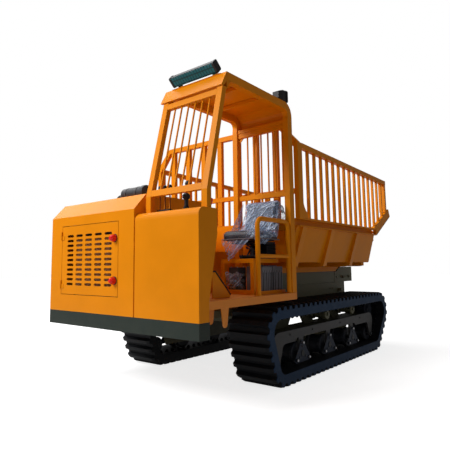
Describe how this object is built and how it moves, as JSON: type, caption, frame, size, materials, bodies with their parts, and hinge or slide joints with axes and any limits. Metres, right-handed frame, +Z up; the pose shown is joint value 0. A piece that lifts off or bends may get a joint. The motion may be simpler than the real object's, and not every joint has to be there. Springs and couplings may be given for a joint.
{
  "type": "tracked dumper",
  "caption": "Rubber-tracked dumper with a tipping trough bed inside barred fences, a slotted engine hood and an open operator's cab with a barred window.",
  "frame": {"origin": "on the ground, under the centre of the machine's overall box", "axes": "-Y is the way it drives, +Y the tipping end of the bed, +X the operator's side, +Z up"},
  "size_m": [2.046, 4.232, 2.8793],
  "materials": {
    "orange_paint": "gloss orange-yellow machine paint",
    "olive_paint": "satin dark olive paint",
    "slate_paint": "satin dark slate paint",
    "black_paint": "satin black paint",
    "bright_steel": "polished plated steel",
    "belt_rubber": "matt black moulded rubber",
    "red_plastic": "glossy red moulding",
    "battery_case": "ribbed dark grey moulding",
    "grey_casting": "painted grey casting",
    "lamp_lens": "tinted moulded lens",
    "seat_cover": "black vinyl seat cover"
  },
  "bodies": {
    "chassis": {"battery_front": "battery_case", "battery_rear": "battery_case", "cab_floor": "orange_paint", "cab_frame": "orange_paint", "cab_roof": "orange_paint", "chassis_frame": "olive_paint", "console": "orange_paint", "engine_block": "grey_casting", "engine_hood": "orange_paint", "foot_pedal": "orange_paint", "front_bumper": "slate_paint", "handrail": "orange_paint", "idler_left": "black_paint", "idler_right": "black_paint", "lever_bank": "black_paint", "light_bar": "black_paint", "light_lens": "lamp_lens", "main_frame": "olive_paint", "air_cleaner": "black_paint", "rear_guard": "orange_paint", "rear_housing": "orange_paint", "roller_set_left": "black_paint", "roller_set_right": "black_paint", "seat_back": "seat_cover", "seat_cushion": "seat_cover", "seat_stand": "orange_paint", "seat_suspension": "black_paint", "side_lever": "red_plastic", "sprocket_left": "black_paint", "sprocket_right": "black_paint", "steering_lever": "black_paint", "track_frame_left": "olive_paint", "track_frame_right": "olive_paint", "track_left": "belt_rubber", "track_right": "belt_rubber", "valve_block": "grey_casting", "window_guard": "orange_paint", "work_lamp": "black_paint"},
    "bed": {"bed_tub": "orange_paint", "bed_underframe": "orange_paint", "headboard": "orange_paint", "side_fence_left": "orange_paint", "side_fence_right": "orange_paint"},
    "tailgate": {"tailgate": "orange_paint"},
    "hood_door": {"hood_door": "orange_paint", "door_knob_lower": "red_plastic", "door_knob_upper": "red_plastic"},
    "hoist_barrel": {"hoist_barrel": "black_paint"},
    "hoist_rod": {"hoist_rod": "bright_steel"}
  },
  "joints": [
    {"name": "bed_tip", "type": "hinge", "parent": "chassis", "child": "bed", "pos_m": [0, 1.769, 0.935], "axis": [-1, 0, 0], "range_deg": [0, 50]},
    {"name": "tailgate_swing", "type": "hinge", "parent": "bed", "child": "tailgate", "pos_m": [0, 1.571, 1.54], "axis": [1, 0, 0], "range_deg": [0, 80]},
    {"name": "hood_door_swing", "type": "hinge", "parent": "chassis", "child": "hood_door", "pos_m": [-0.813, -2.069, 0.851], "axis": [0, 0, -1], "range_deg": [0, 110]},
    {"name": "hoist_swing", "type": "hinge", "parent": "chassis", "child": "hoist_barrel", "pos_m": [0, 0.039, 0.66], "axis": [1, 0, 0], "range_deg": [0, 8.35]},
    {"name": "hoist_extend", "type": "slide", "parent": "hoist_barrel", "child": "hoist_rod", "axis": [0, 0.9697, 0.2442], "range_m": [0, 0.241]}
  ],
  "couplings": [
    {"joint": "hoist_swing", "follows": "bed_tip", "ratio": 0.16639},
    {"joint": "hoist_extend", "follows": "bed_tip", "m_per_rad": 0.27487}
  ]
}
